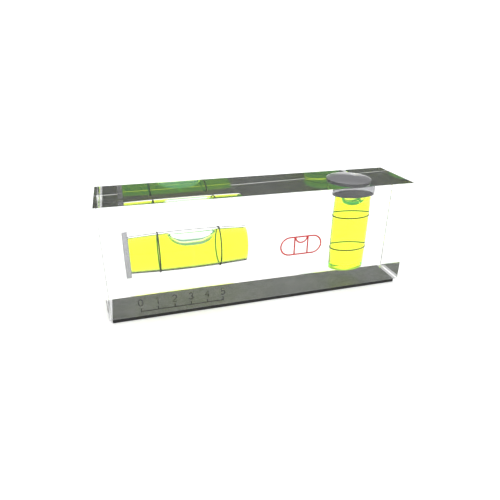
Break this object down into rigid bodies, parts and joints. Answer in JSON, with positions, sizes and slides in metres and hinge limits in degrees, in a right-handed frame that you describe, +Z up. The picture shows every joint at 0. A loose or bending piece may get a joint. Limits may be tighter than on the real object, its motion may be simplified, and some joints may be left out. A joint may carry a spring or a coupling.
{
  "type": "acrylic pocket level",
  "caption": "Clear acrylic block level with a lying level vial, an upright plumb vial, their sliding bubbles and a magnetic rubber base sheet.",
  "frame": {"origin": "on the underside of the magnet sheet, below the middle of the block", "axes": "+X along the block from the level vial's capped end towards the plumb vial, +Y from the front face to the back face, +Z up out of the working face"},
  "size_m": [0.098, 0.02, 0.0362],
  "materials": {
    "clear_acrylic": "polished, clear",
    "vial_spirit": "clear yellow-green liquid",
    "bubble_air": "clear, a bubble of air",
    "ring_paint": "black paint in a groove",
    "milky_cap": "satin, slightly translucent",
    "red_paint": "paint in a shallow engraving",
    "dark_paint": "paint in a shallow engraving",
    "grey_tape": "fine-grained tape under the acrylic",
    "magnet_rubber": "matt, calendered"
  },
  "bodies": {
    "block": {"acrylic_block": "clear_acrylic", "level_ring_left": "ring_paint", "level_ring_right": "ring_paint", "level_cap": "milky_cap", "level_end_plug": "clear_acrylic", "level_liquid": "vial_spirit", "plumb_ring_upper": "ring_paint", "plumb_ring_lower": "ring_paint", "plumb_cap": "milky_cap", "plumb_liquid": "vial_spirit", "vial_symbol": "red_paint", "scale_lines": "dark_paint", "adhesive_tape": "grey_tape", "magnet_sheet": "magnet_rubber"},
    "level_float": {"level_bubble": "bubble_air"},
    "plumb_float": {"plumb_bubble": "bubble_air"}
  },
  "joints": [
    {"name": "level_bubble_run", "type": "hinge", "parent": "block", "child": "level_float", "pos_m": [-0.0234, 0, -0.2749], "axis": [0, 1, 0], "range_deg": [-2.1, 1.75], "stiffness_Nm_per_rad": 0.01, "deforming": ["level_liquid"]},
    {"name": "plumb_bubble_run", "type": "slide", "parent": "block", "child": "plumb_float", "axis": [0, 0, 1], "range_m": [-0.0235, 0], "stiffness_N_per_m": 0.5, "springref_m": 0.03, "deforming": ["plumb_liquid"]}
  ]
}
